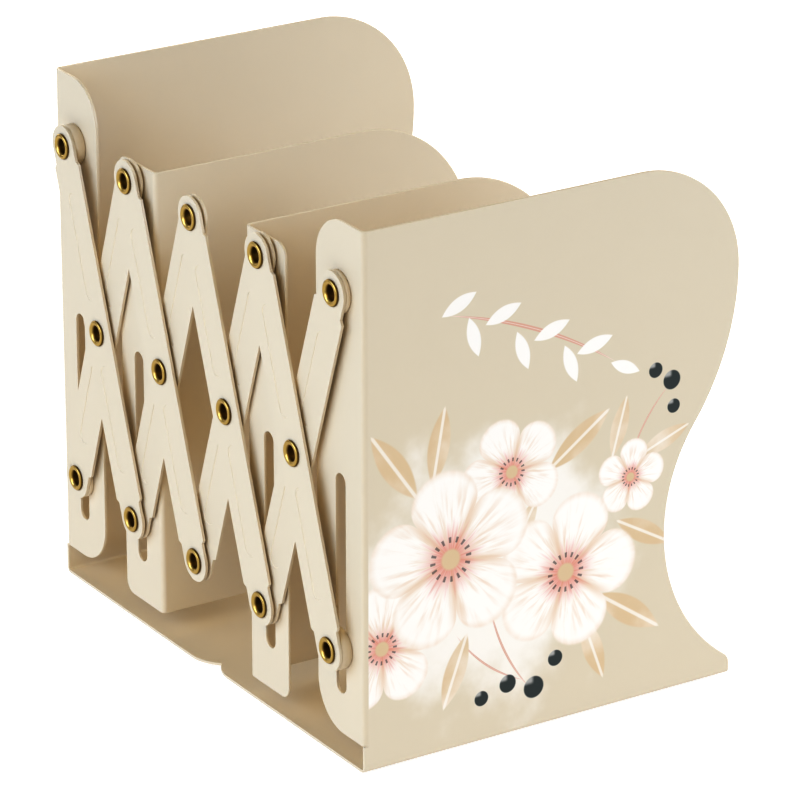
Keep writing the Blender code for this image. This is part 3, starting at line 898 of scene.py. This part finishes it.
# How an ink comes in: where it starts, where it is full, and its strength at both
STREAKS = (0.45, 0.75, 0.0, 0.8)  # by the brush's noise
TOWARDS_HEART = (1.0, 0.3, 0.0, 1.0)  # by the distance from the middle, as the heart and its disc
HEART = (0.68, 0.3, 0.0, 0.85)
DISC = (0.13, 0.09, 0.0, 1.0)
VALLEYS = (0.5, 0.0, 0.0, 0.9)  # by how near the line between two petals is
PETAL_BORDER = (0.12, 0.0, 0.0, 0.9)  # by the distance from the petals' edge, as the outline
PETAL_OUTLINE = (0.0, 0.05, 0.0, 1.0)
STAMENS = (0.8, 0.95, 0.0, 0.7)  # around the ring
BERRY_LEFT = (0.1, -0.3, 0.0, 0.5)
BERRY_TOP = (0.2, 0.6, 0.0, 1.0)
BERRY_OUTLINE = (1.0, 0.88, 0.0, 1.0)
WASH_EDGE = (1.35, 0.95, 0.0, 0.85)
LEAF_PALING = (0.4, 0.8, 0.0, 0.7)  # by the wash's noise


def motif_plane(tree, place, face, motif):
    """A motif's own plane: its two coordinates and the distance from its middle, as parts of its reach."""
    along, height, reach, turn = motif[:4]
    plane = add_node(
        tree, "Mapping",
        {"Vector": place, "Location": (face, along * MM, height * MM), "Rotation": (math.radians(turn), 0, 0),
         "Scale": (reach * MM,) * 3},
        vector_type="TEXTURE",
    )
    axes = add_node(tree, "SeparateXYZ", (plane,))
    return axes.outputs["Y"], axes.outputs["Z"], add_node(tree, "VectorMath", (plane,), operation="LENGTH")


def draw_blossom(tree, place, face, under, motif, inks):
    """Notched white petals with brushed tan streaks, a salmon heart and a ring of stamens."""
    u, v, distance = motif_plane(tree, place, face, motif)
    angle = add_node(tree, "Math", (v, u), operation="ARCTAN2")
    half_turns = add_node(tree, "Math", (angle, PETALS / 2), operation="MULTIPLY")
    wave = add_node(tree, "Math", (half_turns,), operation="COSINE")
    lobes = add_node(tree, "Math", (wave,), operation="ABSOLUTE")
    broad = add_node(tree, "Math", (lobes, PETAL_CURVE), operation="POWER")
    rim = add_node(tree, "Math", (broad, PETAL_SWELL, PETAL_ROOT), operation="MULTIPLY_ADD")
    margin = add_node(tree, "Math", (rim, distance), operation="SUBTRACT")

    # Brushed streaks run out from the middle
    spread = add_node(tree, "Math", (angle, float(PETALS)), operation="MULTIPLY")
    polar = add_node(tree, "CombineXYZ", (spread, distance, float(motif[0])))
    brush = add_node(tree, "TexNoise", {"Vector": polar, "Scale": BRUSH_SCALE, "Detail": 3.0})
    strokes = add_node(tree, "MapRange", (brush, *STREAKS), **SMOOTH)
    inner = add_node(tree, "MapRange", (distance, *TOWARDS_HEART), **SMOOTH)
    streaks = add_node(tree, "Math", (strokes, inner), operation="MULTIPLY")
    valley = add_node(tree, "MapRange", (lobes, *VALLEYS), **SMOOTH)
    fold = add_node(tree, "Math", (valley, inner), operation="MULTIPLY")
    border = add_node(tree, "MapRange", (margin, *PETAL_BORDER), **SMOOTH)
    edge = add_node(tree, "Math", (border, brush), operation="MULTIPLY")
    shadow = add_node(tree, "Math", (fold, edge), operation="MAXIMUM")

    ragged = add_node(tree, "Math", (brush, HEART_RAGGED, distance), operation="MULTIPLY_ADD")
    heart = add_node(tree, "MapRange", (ragged, *HEART), **SMOOTH)
    disc = add_node(tree, "MapRange", (distance, *DISC), **SMOOTH)
    pairs = add_node(tree, "Math", (angle, float(STAMEN_PAIRS)), operation="MULTIPLY")
    beat = add_node(tree, "Math", (pairs,), operation="COSINE")
    spokes = add_node(tree, "Math", (beat,), operation="ABSOLUTE")
    tips = add_node(tree, "MapRange", (spokes, *STAMENS), **SMOOTH)
    ring = add_node(tree, "Math", (distance, STAMEN_RING, STAMEN_LENGTH), operation="COMPARE")
    stamens = add_node(tree, "Math", (ring, tips), operation="MULTIPLY")

    flower = opaque(inks.petal)
    for mask, ink in (
        (streaks, inks.shade), (shadow, inks.shade), (heart, inks.heart),
        (disc, inks.leaf), (stamens, inks.berry),
    ):
        flower = add_node(tree, "Mix", {"Factor": mask, "A": flower, "B": opaque(ink)}, **COLOURS)
    outline = add_node(tree, "MapRange", (margin, *PETAL_OUTLINE), **SMOOTH)
    return add_node(tree, "Mix", {"Factor": outline, "A": under, "B": flower}, **COLOURS)


def draw_leaf(tree, place, face, under, motif, tone, midrib, width):
    """A pointed leaf with a pale midrib, or a twig where it is narrow."""
    u, v, _ = motif_plane(tree, place, face, motif)
    bend = motif[4] if len(motif) > 4 else 0.0
    square = add_node(tree, "Math", (u, u), operation="MULTIPLY")
    taper = add_node(tree, "Math", (1.0, square), operation="SUBTRACT")
    offset = add_node(tree, "Math", (taper, bend, v), operation="MULTIPLY_ADD")
    across = add_node(tree, "Math", (offset,), operation="ABSOLUTE")
    half = add_node(tree, "Math", (taper, width), operation="MULTIPLY")
    margin = add_node(tree, "Math", (half, across), operation="SUBTRACT")
    line = (width * MIDRIB, width * MIDRIB_CORE, 0.0, MIDRIB_STRENGTH)
    middle_line = add_node(tree, "MapRange", (across, *line), **SMOOTH)
    blade = add_node(tree, "Mix", {"Factor": middle_line, "A": tone, "B": opaque(midrib)}, **COLOURS)
    outline = add_node(tree, "MapRange", (margin, 0.0, width * LEAF_SOFTNESS), **SMOOTH)
    return add_node(tree, "Mix", {"Factor": outline, "A": under, "B": blade}, **COLOURS)


def draw_berry(tree, place, face, under, motif, inks):
    """A dark round berry with a highlight at its upper left."""
    u, v, distance = motif_plane(tree, place, face, motif)
    left = add_node(tree, "MapRange", (u, *BERRY_LEFT), **SMOOTH)
    top = add_node(tree, "MapRange", (v, *BERRY_TOP), **SMOOTH)
    shine = add_node(tree, "Math", (left, top), operation="MULTIPLY")
    fruit = add_node(
        tree, "Mix", {"Factor": shine, "A": opaque(inks.berry), "B": opaque(inks.petal)}, **COLOURS
    )
    outline = add_node(tree, "MapRange", (distance, *BERRY_OUTLINE), **SMOOTH)
    return add_node(tree, "Mix", {"Factor": outline, "A": under, "B": fruit}, **COLOURS)


def print_blossoms(tree, place, ground, face):
    """A spray of white blossoms under a terracotta twig, on a plate's outer face in soft matt inks."""
    inks = bpy.context.scene.rack_colours
    white = opaque(inks.petal)
    cloud_size = 22 * MM  # the wash is laid unevenly
    cloud_drift = 0.9  # how far it carries the wash's edge in
    cloud = add_node(tree, "TexNoise", {"Vector": place, "Scale": 1 / cloud_size, "Detail": 4.0})
    _, _, distance = motif_plane(tree, place, face, WASH)
    drift = add_node(tree, "Math", (cloud, cloud_drift, distance), operation="MULTIPLY_ADD")
    wash = add_node(tree, "MapRange", (drift, *WASH_EDGE), **SMOOTH)
    surface = add_node(tree, "Mix", {"Factor": wash, "A": ground, "B": white}, **COLOURS)
    paler = add_node(tree, "MapRange", (cloud, *LEAF_PALING), **SMOOTH)
    leaf = add_node(tree, "Mix", {"Factor": paler, "A": opaque(inks.leaf), "B": white}, **COLOURS)
    for motifs, tone, width in (
        (TWIGS, opaque(inks.twig), TWIG_WIDTH), (TWIG_LEAVES, white, SPRIG_WIDTH), (LEAVES, leaf, LEAF_WIDTH),
    ):
        for motif in motifs:
            surface = draw_leaf(tree, place, face, surface, motif, tone, inks.petal, width)
    for motif in BLOSSOMS:
        surface = draw_blossom(tree, place, face, surface, motif, inks)
    for motif in BERRIES:
        surface = draw_berry(tree, place, face, surface, motif, inks)
    outward = add_node(tree, "SeparateXYZ", (place,)).outputs["X"]
    printed = add_node(tree, "Math", (outward, face - INK_DEPTH), operation="GREATER_THAN")
    return add_node(tree, "Mix", {"Factor": printed, "A": ground, "B": surface}, **COLOURS)


# Studio

# Each softbox has its name in the settings, its colour there, its place and its width, in metres
SOFTBOXES = (
    ("front", "cool", (0.1, -1.6, 0.8), 2.6),
    ("side", "cool", (1.2, 1.3, 0.7), 1.2),
    ("soft", "warm", (1.25, -1.15, 1.35), 1.2),
    ("fill", "pale", (-1.7, 0.2, 0.6), 1.2),
    ("back", "warm", (0, 1.2, 1.2), 1.2),
    ("rear", "pale", (0, 1.9, 0.35), 1.2),
)
SOFTBOX_HEIGHT = 1.0
LIGHTS_AIM = Vector((0, 0, 0.1))
SENSOR_WIDTH = 36  # millimetres
TABLE_GAP = 0.02 * MM  # keeps the table's top off the soles


def add_softbox(studio, name, colour, place, width):
    """A softbox that looks at the rack."""
    light = bpy.data.lights.new(f"{name}_light", "AREA")
    light.shape = "RECTANGLE"
    light.size, light.size_y = width, SOFTBOX_HEIGHT
    light.energy = getattr(studio, name)
    light.color = getattr(studio, colour)
    lamp = bpy.data.objects.new(light.name, light)
    lamp.location = place
    lamp.rotation_euler = (LIGHTS_AIM - lamp.location).to_track_quat("-Z", "Y").to_euler()
    bpy.context.scene.collection.objects.link(lamp)


def add_camera(studio):
    camera = bpy.data.cameras.new("camera")
    camera.lens = studio.lens
    camera.sensor_width = SENSOR_WIDTH
    holder = bpy.data.objects.new("camera", camera)
    aim = Vector(studio.aim)
    level = math.cos(studio.elevation)
    outward = Vector(
        (math.sin(studio.azimuth) * level, -math.cos(studio.azimuth) * level, math.sin(studio.elevation))
    )
    holder.location = aim + studio.distance * outward
    holder.rotation_euler = (-outward).to_track_quat("-Z", "Y").to_euler()
    bpy.context.scene.collection.objects.link(holder)
    bpy.context.scene.camera = holder


def set_room(studio):
    """A white room: bright to the camera, softer in reflections and faint as a light."""
    world = bpy.data.worlds.new("room")
    world.use_nodes = True
    tree = world.node_tree
    tree.nodes.clear()
    rays = add_node(tree, "LightPath").outputs
    glossy, seen = rays["Is Glossy Ray"], rays["Is Camera Ray"]
    mirrored = add_node(tree, "Math", (glossy, studio.mirrored, studio.room), operation="MULTIPLY_ADD")
    level = add_node(tree, "Math", (seen, studio.backdrop, mirrored), operation="MULTIPLY_ADD")
    room = add_node(tree, "Background", {"Color": WHITE, "Strength": level})
    add_node(tree, "OutputWorld", {"Surface": room})
    bpy.context.scene.world = world


# Operators


class RackStage(bpy.types.Operator):
    """Adds the light table, the lights and the camera."""

    bl_idname = "rack.stage"
    bl_label = "Stage"

    def execute(self, context):
        studio = context.scene.rack_studio
        bpy.ops.object.select_all(action="DESELECT")
        bpy.ops.mesh.primitive_circle_add(
            vertices=2 * ROUND_STEPS, radius=studio.table_size, fill_type="NGON", location=(0, 0, -TABLE_GAP)
        )
        table = settle("light_table")
        opal = opal_acrylic("opal_acrylic", context.scene.rack_colours.floor, studio.table, studio.table_size)
        table.data.materials.append(opal)
        for softbox in SOFTBOXES:
            add_softbox(studio, *softbox)
        set_room(studio)
        add_camera(studio)
        picture = context.scene.view_settings
        picture.view_transform = "Standard"
        picture.exposure = studio.exposure
        picture.gamma = studio.gamma
        return {"FINISHED"}


class RackEndPlates(bpy.types.Operator):
    """Builds the two end plates."""

    bl_idname = "rack.end_plates"
    bl_label = "End plates"

    def execute(self, context):
        colour = context.scene.rack_colours.coat
        coat = powder_coat("satin_powder_coat_ends", colour)
        printed = powder_coat("printed_powder_coat", colour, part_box("end_plate_near")[1].x)
        for end, side, column, finish in (("far", 1, 1, coat), ("near", -1, COLUMNS, printed)):
            node = f"end_plate_{end}"
            plate = end_plate(f"{end}_end_sheet", node, side, middle(f"eyelet_top_{column}"))
            hand_over(plate, node, finish)
        return {"FINISHED"}


class RackDividers(bpy.types.Operator):
    """Builds the two hanging dividers."""

    bl_idname = "rack.dividers"
    bl_label = "Dividers"

    def execute(self, context):
        coat = powder_coat("satin_powder_coat_dividers", context.scene.rack_colours.coat)
        # They hang on the second column from either end
        for end, side, column in (("far", -1, 2), ("near", 1, COLUMNS - 1)):
            node = f"divider_{end}"
            plate = divider(f"{end}_divider_sheet", node, side, middle(f"eyelet_top_{column}"))
            hand_over(plate, node, coat)
        return {"FINISHED"}


class RackLinks(bpy.types.Operator):
    """Builds the eight stamped links from one model."""

    bl_idname = "rack.links"
    bl_label = "Links"

    def execute(self, context):
        coat = powder_coat("satin_powder_coat_links", context.scene.rack_colours.coat)
        reach = middle("eyelet_top_1") - middle("eyelet_bottom_2")
        reach.y = 0
        model = link_model(reach.length)
        for layer, start in (("front", 0), ("rear", 1)):
            for cell in range(1, CELLS + 1):
                node = f"link_{layer}_{cell}"
                top = middle(f"eyelet_top_{cell + start}")
                bottom = middle(f"eyelet_bottom_{cell + 1 - start}")
                lean = math.atan2(top.x - bottom.x, top.z - bottom.z)
                centre = Vector(((top.x + bottom.x) / 2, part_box(node)[0].y, (top.z + bottom.z) / 2))
                place = Matrix.Translation(centre) @ Matrix.Rotation(lean, 4, "Y")
                hand_over(copy_to(model, f"{layer}_strip_{cell}", place), node, coat)
        bpy.data.objects.remove(model, do_unlink=True)
        return {"FINISHED"}


class RackEyelets(bpy.types.Operator):
    """Builds the fourteen brass eyelets."""

    bl_idname = "rack.eyelets"
    bl_label = "Eyelets"

    def execute(self, context):
        colours = context.scene.rack_colours
        brass = rolled_brass("rolled_brass", colours.brass, colours.tarnish)
        build_round("eyelet_", eyelet_model, brass, "brass_")
        return {"FINISHED"}


class RackRings(bpy.types.Operator):
    """Builds the washers and the spacers."""

    bl_idname = "rack.rings"
    bl_label = "Washers and spacers"

    def execute(self, context):
        # Moulded nylon gives the eye a waxy, matt cream. Its grain is some 0.1 mm, too fine to show, and is
        # drawn 1.5 mm coarse.
        nylon = moulded_plastic(
            "natural_nylon", context.scene.rack_colours.nylon, roughness=0.5, ior=1.53, grain=1.5 * MM
        )
        build_round(("washer_", "spacer_"), ring_model, nylon, "nylon_")
        return {"FINISHED"}


class RackFeet(bpy.types.Operator):
    """Builds the two feet under the near base."""

    bl_idname = "rack.feet"
    bl_label = "Feet"

    def execute(self, context):
        # Moulded rubber is a soft, dull grey to the eye. Its grain of some 0.1 mm is drawn 0.6 mm coarse.
        rubber = moulded_plastic(
            "moulded_grey_rubber", context.scene.rack_colours.rubber, roughness=0.6, ior=1.52, grain=0.6 * MM
        )
        for end in ("front", "back"):
            node = f"foot_{end}"
            low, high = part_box(node)
            bpy.ops.object.select_all(action="DESELECT")
            bpy.ops.mesh.primitive_cylinder_add(
                vertices=ROUND_STEPS, radius=(high.x - low.x) / 2, depth=high.z - low.z, location=middle(node)
            )
            foot = settle(f"rubber_{node}")
            round_edges(foot, FOOT_EDGE_SHARE * (high.z - low.z))
            hand_over(foot, node, rubber)
        return {"FINISHED"}


class RackPanel(bpy.types.Panel):
    """Lists the rack's settings and its pieces."""

    bl_idname = "VIEW3D_PT_rack"
    bl_label = "Book rack"
    bl_space_type = "VIEW_3D"
    bl_region_type = "UI"
    bl_category = "Book rack"

    def draw(self, context):
        for group in GROUPS:
            box = self.layout.box()
            settings = getattr(context.scene, group)
            for name in settings.bl_rna.properties.keys():
                if name not in ("rna_type", "name"):
                    box.prop(settings, name)
        for operator in OPERATORS:
            self.layout.operator(operator.bl_idname)


GROUPS = {
    "rack_plates": PlateSizes,
    "rack_links": LinkSizes,
    "rack_eyelets": EyeletSizes,
    "rack_colours": RackColours,
    "rack_studio": StudioSettings,
}
OPERATORS = (RackStage, RackEndPlates, RackDividers, RackLinks, RackEyelets, RackRings, RackFeet)


def register():
    for cls in (*GROUPS.values(), *OPERATORS, RackPanel):
        bpy.utils.register_class(cls)
    for name, group in GROUPS.items():
        setattr(bpy.types.Scene, name, PointerProperty(type=group))


def unregister():
    for name in GROUPS:
        delattr(bpy.types.Scene, name)
    for cls in reversed((*GROUPS.values(), *OPERATORS, RackPanel)):
        bpy.utils.unregister_class(cls)


def main():
    register()
    bpy.ops.rack.stage()
    bpy.ops.rack.end_plates()
    bpy.ops.rack.dividers()
    bpy.ops.rack.links()
    bpy.ops.rack.eyelets()
    bpy.ops.rack.rings()
    bpy.ops.rack.feet()


if __name__ == "__main__":
    main()
